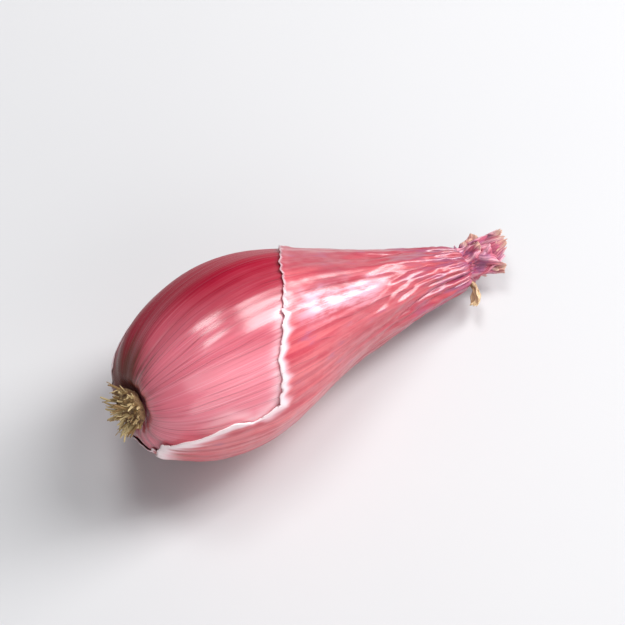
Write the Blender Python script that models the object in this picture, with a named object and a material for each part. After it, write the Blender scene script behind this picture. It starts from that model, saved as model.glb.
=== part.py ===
"""A small elongated red onion lying on its side, at its real size in metres.

+X runs along the onion from the root end to the neck, +Z is up and the front is -Y.
The origin is on the surface that the onion lies on, under the middle of its footprint.
"""

import random
from math import cos, pi, radians, sin, sqrt

import bmesh
import bpy
import numpy as np
from mathutils import Vector

MM = 0.001

# Driving sizes of the onion
LENGTH = 64 * MM  # root end to the neck's lip
BELLY_RADIUS = 14.8 * MM
REST_PITCH = radians(12.4)  # the neck dips until the weight is over the flat spot
FLAT_DEPTH = 0.40 * MM  # how far the underside is pressed flat

# The outline from the middle of the root recess, over its rim and the belly, to the neck's lip and
# into its mouth: shares of the length along the onion, and of the belly's radius
OUTLINE = (
    (0.030, 0.0),
    (0.028, 0.15),
    (0.018, 0.25),
    (0.012, 0.32),
    (0.023, 0.46),
    (0.066, 0.67),
    (0.143, 0.86),
    (0.234, 0.968),
    (0.319, 1.0),
    (0.409, 0.962),
    (0.499, 0.865),
    (0.590, 0.730),
    (0.691, 0.580),
    (0.797, 0.443),
    (0.890, 0.340),
    (0.952, 0.282),
    (0.982, 0.247),
    (0.996, 0.216),
    (1.000, 0.190),
    (0.990, 0.165),
    (0.962, 0.148),
    (0.944, 0.080),
    (0.942, 0.0),
)
ROOT_RIM_AT = 0.140  # shares of the way along the outline
NECK_LIP_AT = 0.885

# How the round body departs from a turned shape
BOW_BACK = 1.6 * MM  # the middle of the onion bows back and up
BOW_UP = 1.2 * MM
OVAL = 0.022  # shares of the radius
THREE_LOBES = 0.014
FLANK_DENT = 1.3 * MM  # a shallow hollow in the lower front flank, where it has dried in
FLANK_TURN = radians(112)
FLANK_AT = 0.55
FLANK_ROUND = 0.75  # radians
FLANK_ALONG = 0.20
RIBS = 12
RIB_HEIGHT = 0.10 * MM
PLEATS = 8
PLEAT_DEPTH = 0.62 * MM
PLEAT_UNEVEN = 0.35  # radians by which the pleats crowd to one side
NECK_TWIST = radians(38)
PUCKERS = 12
PUCKER_DEPTH = 0.24 * MM

# Facets of the body
RINGS = 38
SIDES = 60

# The dry outer skin, which is torn away over the upper front of the belly
SKIN_THICKNESS = 0.36 * MM
TEAR_FRONT = radians(75)  # turn of the tear's front edge at its neckward corner, from straight up
TEAR_BACK = radians(-88)
TEAR_CORNER = 20 * MM  # how far from the root end the front edge turns across the onion
TEAR_ROOT = 1 * MM  # where the front edge meets the root rim
FRONT_SPREAD = radians(28)  # how far down the front edge has slanted by then
FRONT_BEND = 0.7
BACK_RUN = radians(9)  # how far round the back edge slants
TEAR_END = 19.2 * MM  # how far from the root end the tear ends at the front
TEAR_SLANT = 9.0 * MM  # how much further it reaches for each radian toward the back
SLANT_FROM = 0.8  # radians
TEAR_JAG = 0.8 * MM
HEM_WAVE = 0.006  # how far the skin's other end wanders along the root rim
TORN_RINGS = 30
TORN_SIDES = 90

# The lip of the outer skin that curls off the belly by the root end
LIP_THICKNESS = 0.6 * MM
LIP_LIFT = 1.3 * MM
LIP_FROM, LIP_TO = 1.8 * MM, 14.5 * MM
LIP_WIDTH = radians(17)
LIP_ENDS = 0.12  # share of its width and lift that is left at its two ends
LIP_HOLD = radians(4)  # how far it reaches under the skin that still clings
LIP_SINK = 0.25 * MM
LIP_STEPS = 9
LIP_STEPS_ROUND = 6

# Root plate and dry roots
PLATE_OUTLINE = (  # in mm: how far inward of the root end, and the radius there
    (1.35, 0.0),
    (1.35, 2.0),
    (0.75, 3.0),
    (0.0, 3.3),
    (-0.6, 2.7),
    (-0.95, 1.3),
    (-1.05, 0.0),
)
PLATE_SIDES = 28
PLATE_WAVES = ((5, 0.05), (9, 0.03))  # waves round its edge, and their height as a share of the radius
ROOTS = 40
ROOT_RADIUS = 0.40 * MM
ROOT_TAPER = 0.45  # share of the radius lost by the end
ROOT_SHORTEST, ROOT_LONGEST = 2.0 * MM, 4.4 * MM
ROOT_CIRCLE = 2.75 * MM  # the outermost roots stand this far from the middle
ROOT_DEPTH = 0.45 * MM  # how deep in the plate each root starts
ROOT_SPREAD = 0.85  # how far the outermost roots point out
ROOT_SAG = 0.42  # how far a root curls over, as a share of its length
ROOT_STEPS = 4
GOLDEN_TURN = radians(137.508)

# Dry leaf ends that stand out of the mouth of the neck
TIP_GAP = 0.3 * MM
CORE_RADIUS = 1.35 * MM
CORE_LENGTH = 5.5 * MM
CORE_SIDES = 16
LEAF_THICKNESS = 0.6 * MM
LEAF_FOOT = 0.38  # width of a leaf end in the neck's mouth and at its end, as shares of the widest
LEAF_POINT = 0.45
LEAF_ARCH = 0.45  # how far it wraps round the neck's axis, as a share of its half width
LEAF_RUFFLE = 0.30  # how far its two edges rock up and down, as a share of its half width
LEAF_STEPS = 8
# For each: length and half width in mm, turn round the neck in degrees, lean and curl in radians
LEAF_ENDS = (
    (11.0, 3.1, 12, 0.16, 0.30),
    (9.4, 2.6, 72, 0.26, 0.38),
    (6.2, 2.3, 140, 0.06, 0.06),
    (6.6, 2.3, 214, 0.08, 0.08),
    (8.8, 2.5, 276, 0.20, 0.42),
    (11.8, 2.7, 328, 0.26, -0.10),
    (9.2, 0.8, 96, 0.44, 2.45),
)


def clear_scene():
    for obj in list(bpy.data.objects):
        bpy.data.objects.remove(obj)


def make_material(name, colour, roughness):
    """A Principled surface of one colour."""
    material = bpy.data.materials.new(name)
    material.use_nodes = True
    shader = material.node_tree.nodes["Principled BSDF"]
    shader.inputs["Base Color"].default_value = (*colour, 1.0)
    shader.inputs["Roughness"].default_value = roughness
    return material


def add_object(name, mesh, material, parent):
    obj = bpy.data.objects.new(name, mesh)
    bpy.context.scene.collection.objects.link(obj)
    mesh.materials.clear()
    mesh.materials.append(material)
    obj.parent = parent
    return obj


def ease(low, high, value):
    """0 before low, 1 after high, and a smooth rise between them."""
    share = np.clip((value - low) / (high - low), 0.0, 1.0)
    return share * share * (3.0 - 2.0 * share)


def spline_through(points):
    """A function of 0 to 1 that gives the natural cubic spline through the points.

    The spline runs on the square root of the chords, so short chords get their share of it.
    """
    points = np.array(points, float)
    chords = np.linalg.norm(np.diff(points, axis=0), axis=1)
    knots = np.concatenate([[0.0], np.cumsum(np.sqrt(chords))])
    spans = np.diff(knots)
    count = len(knots)
    matrix = np.eye(count)
    wanted = np.zeros(points.shape)
    for i in range(1, count - 1):
        matrix[i, i - 1 : i + 2] = spans[i - 1], 2 * (spans[i - 1] + spans[i]), spans[i]
        slopes = (points[i + 1] - points[i]) / spans[i], (points[i] - points[i - 1]) / spans[i - 1]
        wanted[i] = 6 * (slopes[0] - slopes[1])
    bends = np.linalg.solve(matrix, wanted)

    def at(share):
        where = np.asarray(share, float) * knots[-1]
        i = np.clip(np.searchsorted(knots, where) - 1, 0, count - 2)
        after, before = (where - knots[i])[..., None], (knots[i + 1] - where)[..., None]
        span = spans[i][..., None]
        curved = (bends[i] * before**3 + bends[i + 1] * after**3) / (6 * span)
        straight = (points[i] / span - bends[i] * span / 6) * before
        return curved + straight + (points[i + 1] / span - bends[i + 1] * span / 6) * after

    return at


# Points deep in the body, where the outer layer closes
HEART = (0.25 * LENGTH, 0.0, BOW_UP)
NECK_HEART = (0.82 * LENGTH, 0.3 * BOW_BACK, 0.3 * BOW_UP)

outline_at = spline_through([(along * LENGTH, radius * BELLY_RADIUS) for along, radius in OUTLINE])
outer_shares = np.linspace(ROOT_RIM_AT - 0.06, NECK_LIP_AT, 400)
outer_distances = outline_at(outer_shares)[:, 0]


def share_at(distance):
    """The share of the way along the outline, for distances along the onion from its root end."""
    return np.interp(distance, outer_distances, outer_shares)


def bow_at(along):
    """The share of the bow at a share of the onion's length."""
    return np.sin(pi * np.clip(along, 0.0, 1.0))


def skin_points(share, turn, lift=0.0):
    """Points on the onion's skin, for arrays of shares along the outline and turns from straight up.

    The turned outline is made oval and slightly three-lobed, hollowed at the front flank, ribbed
    lengthwise, gathered in pleats at the neck and puckers round the root, and bowed.
    """
    share, turn = np.broadcast_arrays(np.asarray(share, float), np.asarray(turn, float))
    x, radius = np.moveaxis(outline_at(share), -1, 0)
    along = x / LENGTH
    radius = np.maximum(radius, 0.0)
    body = ease(0.0, 0.2, along) * (1.0 - ease(0.80, 1.0, along))
    neck = ease(0.50, 0.92, along) * (1.0 - ease(NECK_LIP_AT, 0.93, share))
    rim = ease(0.12, 0.30, radius / BELLY_RADIUS) * (1.0 - ease(0.03, 0.20, along))
    radius = radius * (1.0 + body * (OVAL * np.cos(2 * turn + 0.6) + THREE_LOBES * np.cos(3 * turn - 0.9)))
    off_flank = np.angle(np.exp(1j * (turn - FLANK_TURN)))
    dent = np.exp(-((off_flank / FLANK_ROUND) ** 2) - ((along - FLANK_AT) / FLANK_ALONG) ** 2)
    pleat_turn = turn + NECK_TWIST * neck + PLEAT_UNEVEN * np.sin(turn + 1.0)
    pleats = PLEAT_DEPTH * neck * (np.abs(np.cos(0.5 * PLEATS * pleat_turn)) - 2 / pi)
    ribs = RIB_HEIGHT * body * np.cos(RIBS * turn + 1.3 * np.sin(2 * turn))
    puckers = PUCKER_DEPTH * rim * np.cos(PUCKERS * turn + np.sin(3 * turn))
    # The outline's own middle has no relief, so that its end rings stay closed
    near_axis = ease(0.0, 1.2 * MM, radius)
    radius = radius + near_axis * (lift + pleats + ribs + puckers - FLANK_DENT * dent)
    x = x - lift * near_axis * (1.0 - ease(0.0, 0.10, along))
    y = BOW_BACK * bow_at(along) - radius * np.sin(turn)
    z = BOW_UP * bow_at(along) + radius * np.cos(turn)
    return np.stack([x, y, z], axis=-1)


def closed_rings(rings, first=None, last=None):
    """A mesh of rings of points joined in order, closed at each end by a fan to the given point.

    Without points, each ring is a thin section, out along one side and back along the other, and the
    ends are closed from side to side.
    """
    mesh = bmesh.new()
    loops = [[mesh.verts.new(point) for point in ring] for ring in rings]
    sides = len(rings[0])
    for near, far in zip(loops, loops[1:]):
        for i in range(sides):
            mesh.faces.new((near[i], near[(i + 1) % sides], far[(i + 1) % sides], far[i]))
    for loop, point in ((loops[0], first), (loops[-1], last)):
        if point is None:
            for i in range(sides // 2 - 1):
                mesh.faces.new((loop[i], loop[i + 1], loop[sides - 2 - i], loop[sides - 1 - i]))
        else:
            middle = mesh.verts.new(point)
            for i in range(sides):
                mesh.faces.new((loop[i], loop[(i + 1) % sides], middle))
    bmesh.ops.recalc_face_normals(mesh, faces=mesh.faces)
    data = bpy.data.meshes.new("solid")
    mesh.to_mesh(data)
    mesh.free()
    return data


def join(base, others):
    """Joins the other objects to base with one Boolean union and removes them."""
    group = bpy.data.collections.new("to_join")
    bpy.context.scene.collection.children.link(group)
    for other in others:
        group.objects.link(other)
    union = base.modifiers.new("join", "BOOLEAN")
    union.operation = "UNION"
    union.operand_type = "COLLECTION"
    union.collection = group
    union.use_self = True
    bpy.context.view_layer.update()
    graph = bpy.context.evaluated_depsgraph_get()
    joined = bpy.data.meshes.new_from_object(base.evaluated_get(graph))
    base.modifiers.clear()
    base.data = joined
    for other in others:
        bpy.data.objects.remove(other)
    bpy.data.collections.remove(group)


def make_body(skin, onion):
    """The fleshy body under the torn skin, from the root recess to the neck's end."""
    turns = np.arange(SIDES) * 2 * pi / SIDES
    shares = np.linspace(0.0, 1.0, RINGS)
    rings = [skin_points(share, turns) for share in shares[1:-1]]
    first, last = skin_points(0.0, 0.0), skin_points(1.0, 0.0)
    return add_object("bulb", closed_rings(rings, first, last), skin, onion)


def tear_start(turn):
    """The share along the outline where the outer skin starts, for each turn round the onion.

    It starts at the root rim, except over the upper front, where it has torn away. The tear's front
    edge slants down toward the root, and its neckward end slants back and is jagged.
    """
    down = np.clip((turn - TEAR_FRONT) / FRONT_SPREAD, 0.0, 1.0) ** FRONT_BEND
    front_edge = np.where(down > 0.0, TEAR_CORNER - (TEAR_CORNER - TEAR_ROOT) * down, LENGTH)
    jag = TEAR_JAG * (np.sin(9 * turn + 0.5) + 0.7 * np.sin(23 * turn) + 0.4 * np.sin(41 * turn + 2))
    neckward = TEAR_END + TEAR_SLANT * np.maximum(SLANT_FROM - turn, 0.0) + jag
    rootward = ROOT_RIM_AT + HEM_WAVE * np.sin(7 * turn)
    open_share = ease(TEAR_BACK, TEAR_BACK + BACK_RUN, turn)
    torn = rootward + (share_at(neckward) - rootward) * open_share
    return np.maximum(rootward, np.minimum(torn, share_at(front_edge)))


def front_edge_turn(distance):
    """The turn of the tear's front edge, at a distance along the onion from its root end."""
    down = np.clip((TEAR_CORNER - distance) / (TEAR_CORNER - TEAR_ROOT), 0.0, 1.0)
    return TEAR_FRONT + FRONT_SPREAD * down ** (1.0 / FRONT_BEND)


def torn_turns():
    """Turns round the onion, packed closer where the long edges of the tear run."""
    even = np.linspace(-pi, pi, 4000)
    density = 1.0
    edges = (
        (TEAR_FRONT + 0.15 * FRONT_SPREAD, 0.3 * FRONT_SPREAD),
        (TEAR_BACK + 0.5 * BACK_RUN, BACK_RUN),
    )
    for edge, width in edges:
        density = density + 7.0 * np.exp(-(((even - edge) / width) ** 2))
    filled = np.cumsum(density)
    filled = (filled - filled[0]) / (filled[-1] - filled[0])
    return np.interp(np.arange(TORN_SIDES) / TORN_SIDES, filled, even)


def make_outer_skin(skin, onion):
    """The dry outer skin, as a layer that stands out of the body, closed through the body's middle."""
    turns = torn_turns()
    start = tear_start(turns)
    rings = [
        skin_points(start + (NECK_LIP_AT - start) * share, turns, SKIN_THICKNESS)
        for share in np.linspace(0.0, 1.0, TORN_RINGS)
    ]
    return add_object("outer_skin", closed_rings(rings, HEART, NECK_HEART), skin, onion)


def make_lip(skin, onion):
    """The lip of the outer skin along the tear's front edge, which curls off the belly.

    Each section runs round the onion from inside the skin that still clings to the free edge.
    """
    across = np.linspace(0.0, 1.0, LIP_STEPS_ROUND)
    rings = []
    for step in np.linspace(0.0, 1.0, LIP_STEPS):
        distance = LIP_FROM + (LIP_TO - LIP_FROM) * step
        fullness = LIP_ENDS + (1.0 - LIP_ENDS) * sin(pi * step)
        turns = front_edge_turn(distance) + LIP_HOLD - LIP_WIDTH * fullness * across
        lifts = SKIN_THICKNESS - LIP_SINK + LIP_LIFT * fullness * across**2
        under = skin_points(share_at(distance), turns, lifts)
        over = skin_points(share_at(distance), turns, lifts + LIP_THICKNESS)
        rings.append(np.concatenate([under, over[::-1]]))
    return add_object("lip", closed_rings(rings), skin, onion)


def lowest_point(obj):
    return min((obj.matrix_world @ vertex.co).z for vertex in obj.data.vertices)


def lay_down(bulb, onion):
    """Presses the underside flat, and stands the onion on it at height 0."""
    floor = lowest_point(bulb) + FLAT_DEPTH
    to_local = bulb.matrix_world.inverted()
    mesh = bmesh.new()
    mesh.from_mesh(bulb.data)
    cut = bmesh.ops.bisect_plane(
        mesh,
        geom=mesh.verts[:] + mesh.edges[:] + mesh.faces[:],
        dist=0.0001 * MM,
        plane_co=to_local @ Vector((0.0, 0.0, floor)),
        plane_no=to_local.to_3x3() @ Vector((0.0, 0.0, 1.0)),
        clear_inner=True,
    )
    rim = [item for item in cut["geom_cut"] if isinstance(item, bmesh.types.BMEdge)]
    bmesh.ops.contextual_create(mesh, geom=rim)
    bmesh.ops.recalc_face_normals(mesh, faces=mesh.faces)
    mesh.to_mesh(bulb.data)
    mesh.free()
    onion.location.z -= floor


def centre_footprint(pieces, onion):
    """Moves the onion so that the middle of its footprint is over the origin."""
    bpy.context.view_layer.update()
    points = [piece.matrix_world @ vertex.co for piece in pieces for vertex in piece.data.vertices]
    for axis in (0, 1):
        values = [point[axis] for point in points]
        onion.location[axis] -= 0.5 * (min(values) + max(values))


def make_bulb(skin, onion):
    bulb = make_body(skin, onion)
    join(bulb, [make_outer_skin(skin, onion), make_lip(skin, onion)])
    lay_down(bulb, onion)
    bulb.data.materials.clear()
    bulb.data.materials.append(skin)
    bulb.data.shade_smooth()
    bulb.data.set_sharp_from_angle(angle=radians(35))
    return bulb


def root_curve(place, direction, sag, length, tan, onion):
    """One dry root: a tapered curve that leaves the plate and curls over."""
    curve = bpy.data.curves.new("root", "CURVE")
    curve.dimensions = "3D"
    curve.bevel_depth = ROOT_RADIUS
    curve.bevel_resolution = 0
    curve.use_fill_caps = True
    spline = curve.splines.new("POLY")
    spline.points.add(ROOT_STEPS)
    for i, point in enumerate(spline.points):
        share = i / ROOT_STEPS
        at = place + direction * (length * share) + sag * (length * share**2)
        point.co = (*at, 1.0)
        point.radius = 1.0 - ROOT_TAPER * share
    obj = bpy.data.objects.new("root", curve)
    bpy.context.scene.collection.objects.link(obj)
    bpy.context.view_layer.update()
    graph = bpy.context.evaluated_depsgraph_get()
    mesh = bpy.data.meshes.new_from_object(obj.evaluated_get(graph))
    bpy.data.objects.remove(obj)
    solid = bmesh.new()
    solid.from_mesh(mesh)
    bmesh.ops.remove_doubles(solid, verts=solid.verts, dist=0.001 * MM)
    bmesh.ops.recalc_face_normals(solid, faces=solid.faces)
    solid.to_mesh(mesh)
    solid.free()
    return add_object("root", mesh, tan, onion)


def make_root_tuft(tan, onion):
    """The corky root plate, which sits in the recess, and the dry roots that grow from it."""
    draw = random.Random(11)
    turns = np.arange(PLATE_SIDES) * 2 * pi / PLATE_SIDES
    rings = []
    for x, radius in PLATE_OUTLINE[1:-1]:
        wavy = radius * MM * (1.0 + sum(size * np.cos(waves * turns + x) for waves, size in PLATE_WAVES))
        level = np.full(PLATE_SIDES, x * MM)
        rings.append(np.stack([level, wavy * np.sin(turns), wavy * np.cos(turns)], axis=1))
    first, last = (PLATE_OUTLINE[0][0] * MM, 0, 0), (PLATE_OUTLINE[-1][0] * MM, 0, 0)
    plate = add_object("root_tuft", closed_rings(rings, first, last), tan, onion)
    roots = []
    for i in range(ROOTS):
        out = sqrt((i + 0.5) / ROOTS)
        turn = i * GOLDEN_TURN
        radial = Vector((0.0, sin(turn), cos(turn)))
        place = radial * (ROOT_CIRCLE * out) + Vector((ROOT_DEPTH, 0.0, 0.0))
        direction = (Vector((-1.0, 0.0, 0.0)) + radial * (ROOT_SPREAD * out)).normalized()
        side = radial.cross(Vector((1.0, 0.0, 0.0)))
        sag = ROOT_SAG * (radial * draw.uniform(-0.25, 0.75) + side * draw.uniform(-1.0, 1.0))
        length = draw.uniform(ROOT_SHORTEST, ROOT_LONGEST) * (1.0 - 0.25 * out)
        roots.append(root_curve(place, direction, sag, length, tan, onion))
    join(plate, roots)
    return plate


def leaf_end(length, half_width, turn, lean, curl, straw, onion):
    """One dry leaf end: a thin strip, arched round the neck's axis, that leans out, curls and ruffles.

    It is narrow where it stands in the neck's mouth, widest past the lip, and narrows to its end.
    """
    radial = Vector((0.0, -sin(turn), cos(turn)))
    side = Vector((0.0, cos(turn), sin(turn)))
    at = Vector((0.30 * CORE_LENGTH, 0.0, 0.0)) + radial * (0.6 * CORE_RADIUS)
    rings = []
    for step in range(LEAF_STEPS):
        share = step / (LEAF_STEPS - 1)
        angle = lean + curl * share
        forward = Vector((cos(angle), 0.0, 0.0)) + radial * sin(angle)
        out = radial * cos(angle) - Vector((sin(angle), 0.0, 0.0))
        widening = (1.0 - LEAF_FOOT) * float(ease(0.15, 0.60, share))
        width = half_width * (LEAF_FOOT + widening - (1.0 - LEAF_POINT) * float(ease(0.60, 1.0, share)))
        ruffle = LEAF_RUFFLE * width * sin(2.2 * pi * share + 3.0 * turn) * float(ease(0.2, 0.5, share))
        ring = []
        for layer, order in ((0.5, (-1.0, -0.4, 0.4, 1.0)), (-0.5, (1.0, 0.4, -0.4, -1.0))):
            for across in order:
                wrap = out * (layer * LEAF_THICKNESS - LEAF_ARCH * width * across**2 + ruffle * across)
                ring.append(at + side * (width * across) + wrap)
        rings.append(ring)
        at = at + forward * (length / (LEAF_STEPS - 1))
    return add_object("leaf_end", closed_rings(rings), straw, onion)


def make_leaf_tips(straw, onion):
    """The dry leaf ends, grown together at a short core that stands in the neck's mouth."""
    turns = np.arange(CORE_SIDES) * 2 * pi / CORE_SIDES
    rings = []
    for share, size in ((0.0, 0.85), (0.08, 1.0), (0.60, 1.0), (0.85, 0.7)):
        radius = CORE_RADIUS * size
        x = np.full(CORE_SIDES, share * CORE_LENGTH)
        rings.append(np.stack([x, -radius * np.sin(turns), radius * np.cos(turns)], axis=1))
    core = closed_rings(rings, (0.0, 0.0, 0.0), (CORE_LENGTH, 0.0, 0.0))
    tips = add_object("leaf_tips", core, straw, onion)
    ends = [
        leaf_end(length * MM, width * MM, radians(turn), lean, curl, straw, onion)
        for length, width, turn, lean, curl in LEAF_ENDS
    ]
    join(tips, ends)
    mouth = OUTLINE[-1][0]
    tips.location = (mouth * LENGTH + TIP_GAP, BOW_BACK * bow_at(mouth), BOW_UP * bow_at(mouth))
    return tips


def main():
    clear_scene()
    skin = make_material("onion_skin", (0.47, 0.045, 0.105), 0.38)
    tan = make_material("dry_root", (0.46, 0.34, 0.17), 0.85)
    straw = make_material("dry_leaf", (0.51, 0.17, 0.22), 0.75)
    onion = bpy.data.objects.new("onion", None)
    bpy.context.scene.collection.objects.link(onion)
    onion.rotation_euler = (0.0, REST_PITCH, 0.0)
    bulb = make_bulb(skin, onion)
    root_tuft = make_root_tuft(tan, onion)
    leaf_tips = make_leaf_tips(straw, onion)
    centre_footprint((bulb, root_tuft, leaf_tips), onion)


main()
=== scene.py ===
"""The looks of a small elongated red onion that lies on its side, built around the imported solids.

Everything is in metres. +X runs from the root end to the neck, +Z is up and the front is -Y.
"""

import random
from math import cos, pi, radians, sin, sqrt

import bpy
import numpy as np
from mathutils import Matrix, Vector


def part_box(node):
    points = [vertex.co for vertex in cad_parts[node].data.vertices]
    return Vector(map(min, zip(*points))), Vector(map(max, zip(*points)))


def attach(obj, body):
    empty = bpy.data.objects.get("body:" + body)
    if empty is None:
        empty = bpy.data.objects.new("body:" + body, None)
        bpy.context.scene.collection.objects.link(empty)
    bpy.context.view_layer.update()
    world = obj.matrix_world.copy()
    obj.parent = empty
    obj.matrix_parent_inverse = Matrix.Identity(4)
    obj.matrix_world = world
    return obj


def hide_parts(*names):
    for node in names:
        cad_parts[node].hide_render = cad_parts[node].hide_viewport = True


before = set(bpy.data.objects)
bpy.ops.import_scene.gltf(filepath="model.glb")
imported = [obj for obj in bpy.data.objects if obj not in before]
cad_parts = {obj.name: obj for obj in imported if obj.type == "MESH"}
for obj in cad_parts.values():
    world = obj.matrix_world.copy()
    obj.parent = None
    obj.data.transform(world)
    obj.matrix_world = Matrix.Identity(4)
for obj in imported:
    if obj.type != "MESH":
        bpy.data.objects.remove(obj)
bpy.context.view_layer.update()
MM = 0.001

# Camera, table and light
# A long lens looks down at the front and from a little to the left, so the onion points up to the right.
# The table is a plain pale board. A long strip light stands to the right, a small one hangs overhead and
# a wide weak one fills in from the front.
VIEW_TURN = radians(-34)
VIEW_HEIGHT = radians(57)
VIEW_DISTANCE = 0.62
VIEW_LENS = 226  # mm, on a 36 mm sensor
LOOK_AT = np.array([0.0003, 0.0, 0.0135])

to_camera = np.array([
    sin(VIEW_TURN) * cos(VIEW_HEIGHT),
    -cos(VIEW_TURN) * cos(VIEW_HEIGHT),
    sin(VIEW_HEIGHT),
])
camera = bpy.data.objects.new("camera", bpy.data.cameras.new("camera"))
bpy.context.scene.collection.objects.link(camera)
camera.location = LOOK_AT + VIEW_DISTANCE * to_camera
camera.rotation_euler = (pi / 2 - VIEW_HEIGHT, 0.0, VIEW_TURN)
camera.data.lens = VIEW_LENS
bpy.context.scene.camera = camera


def add_panel(name, place, width, height, strength, colour):
    """A flat area light at place that faces the onion."""
    panel = bpy.data.objects.new(name, bpy.data.lights.new(name, "AREA"))
    bpy.context.scene.collection.objects.link(panel)
    panel.location = place
    panel.rotation_euler = (Vector(place) - Vector(LOOK_AT)).to_track_quat("Z", "Y").to_euler()
    panel.data.shape = "RECTANGLE"
    panel.data.size = width
    panel.data.size_y = height
    panel.data.energy = strength
    panel.data.color = colour


add_panel("right_strip", (0.48, -0.07, 0.38), 0.23, 0.74, 5.5, (1.0, 0.99, 0.99))
add_panel("overhead", (0.02, 0.15, 0.62), 0.20, 0.26, 1.35, (1.0, 0.99, 0.99))
add_panel("front_fill", (-0.04, -0.88, 0.38), 1.20, 0.76, 4.5, (0.99, 0.99, 1.0))

world = bpy.data.worlds.new("studio")
bpy.context.scene.world = world
world.use_nodes = True
world.node_tree.nodes["Background"].inputs["Color"].default_value = (0.93, 0.95, 1.0, 1.0)
world.node_tree.nodes["Background"].inputs["Strength"].default_value = 0.18
bpy.context.scene.view_settings.view_transform = "Standard"


def mesh_object(name, points, faces, smooth=True):
    """An object at the origin, with its points given in metres in the frame."""
    mesh = bpy.data.meshes.new(name)
    mesh.from_pydata(points, [], faces)
    mesh.validate()
    mesh.polygons.foreach_set("use_smooth", np.full(len(mesh.polygons), smooth))
    mesh.update()
    made = bpy.data.objects.new(name, mesh)
    bpy.context.scene.collection.objects.link(made)
    return made


class Wire:
    """A shader socket that takes part in Python arithmetic: each operator adds one Math node."""

    def __init__(self, finish, socket):
        self.finish = finish
        self.socket = socket

    def _math(self, operation, first, second=0.0):
        return self.finish.node("ShaderNodeMath", {"operation": operation}, {0: first, 1: second})

    def __add__(self, other):
        return self._math("ADD", self, other)

    def __sub__(self, other):
        return self._math("SUBTRACT", self, other)

    def __rsub__(self, other):
        return self._math("SUBTRACT", other, self)

    def __mul__(self, other):
        return self._math("MULTIPLY", self, other)

    def __abs__(self):
        return self._math("ABSOLUTE", self)

    __radd__ = __add__
    __rmul__ = __mul__

    def sine(self):
        return self._math("SINE", self)

    def rise(self, low, high):
        """0 where the value is below low, 1 where it is above high, and smooth between them."""
        settings = {"interpolation_type": "SMOOTHSTEP"}
        inputs = {"Value": self, "From Min": low, "From Max": high}
        return self.finish.node("ShaderNodeMapRange", settings, inputs)

    def fall(self, low, high):
        return 1.0 - self.rise(low, high)


class Finish:
    """A material made of nodes around one Principled shader."""

    def __init__(self, name, **constants):
        self.material = bpy.data.materials.new(name)
        self.material.use_nodes = True
        self.tree = self.material.node_tree
        self.shader = self.tree.nodes["Principled BSDF"]
        for socket, value in constants.items():
            title = socket.replace("_", " ").title().replace("Ior", "IOR")
            self.shader.inputs[title].default_value = value

    def node(self, kind, settings=None, inputs=None, output=0):
        """Adds a node. Its settings come first, then the values or wires of its sockets."""
        made = self.tree.nodes.new(kind)
        for name, value in (settings or {}).items():
            setattr(made, name, value)
        for name, value in (inputs or {}).items():
            if isinstance(value, Wire):
                self.tree.links.new(value.socket, made.inputs[name])
            else:
                made.inputs[name].default_value = value
        return Wire(self, made.outputs[output])

    def attribute(self, name, output):
        return self.node("ShaderNodeAttribute", {"attribute_name": name}, output=output)

    def stretched(self, vector, scales):
        return self.node("ShaderNodeVectorMath", {"operation": "MULTIPLY"}, {0: vector, 1: scales})

    def noise(self, vector, scale=1.0, detail=3.0, roughness=0.5):
        inputs = {"Vector": vector, "Scale": scale, "Detail": detail, "Roughness": roughness}
        return self.node("ShaderNodeTexNoise", {}, inputs)

    def mix(self, factor, low, high):
        """A colour between low and high. A plain colour is given as sRGB numbers up to 255."""
        inputs = {0: factor}
        for socket, colour in ((6, low), (7, high)):
            inputs[socket] = colour if isinstance(colour, Wire) else paint(colour)
        return self.node("ShaderNodeMix", {"data_type": "RGBA"}, inputs, output=2)

    def feed(self, socket, wire):
        self.tree.links.new(wire.socket, self.shader.inputs[socket])

    def bump(self, height, distance, strength=1.0):
        inputs = {"Height": height, "Distance": distance, "Strength": strength}
        self.feed("Normal", self.node("ShaderNodeBump", {}, inputs))


def paint(colour):
    """sRGB numbers up to 255 as the linear colour that a socket takes."""
    share = np.array(colour) / 255
    linear = np.where(share <= 0.04045, share / 12.92, ((share + 0.055) / 1.055) ** 2.4)
    return (*linear.tolist(), 1.0)


TABLE_HALF = 3.0
table_corners = [(x * TABLE_HALF, y * TABLE_HALF, 0.0) for x, y in ((-1, -1), (1, -1), (1, 1), (-1, 1))]
table = mesh_object("table", table_corners, [(0, 1, 2, 3)])
board = Finish("pale_board", roughness=0.65)
cloudy = board.noise(board.node("ShaderNodeTexCoord", output=3), 9.0)
board.feed("Base Color", board.mix(cloudy, (207, 208, 210), (214, 214, 215)))
table.data.materials.append(board.material)

# Fleshy bulb with its inner skin
# The glossy crimson skin under the torn outer one. It grew over the fleshy layers as one closed body,
# from the recess that holds the root plate to the mouth of the dried neck.
LENGTH = 64 * MM
BELLY_RADIUS = 14.8 * MM
REST_PITCH = radians(12.4)
OUTLINE = (  # shares of the length and of the belly's radius, from the root recess to the neck's mouth
    (0.030, 0.0),
    (0.028, 0.15),
    (0.018, 0.25),
    (0.012, 0.32),
    (0.023, 0.46),
    (0.066, 0.67),
    (0.143, 0.86),
    (0.234, 0.968),
    (0.319, 1.0),
    (0.409, 0.962),
    (0.499, 0.865),
    (0.590, 0.730),
    (0.691, 0.580),
    (0.797, 0.443),
    (0.890, 0.340),
    (0.952, 0.282),
    (0.982, 0.247),
    (0.996, 0.216),
    (1.000, 0.190),
    (0.990, 0.165),
    (0.962, 0.148),
    (0.944, 0.080),
    (0.942, 0.0),
)
NECK_LIP_AT = 0.885  # share of the way along the outline
BOW_BACK = 1.6 * MM
BOW_UP = 1.2 * MM
OVAL = 0.022
THREE_LOBES = 0.014
FLANK_DENT = 1.3 * MM
FLANK_TURN = radians(112)
FLANK_AT = 0.55
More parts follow.
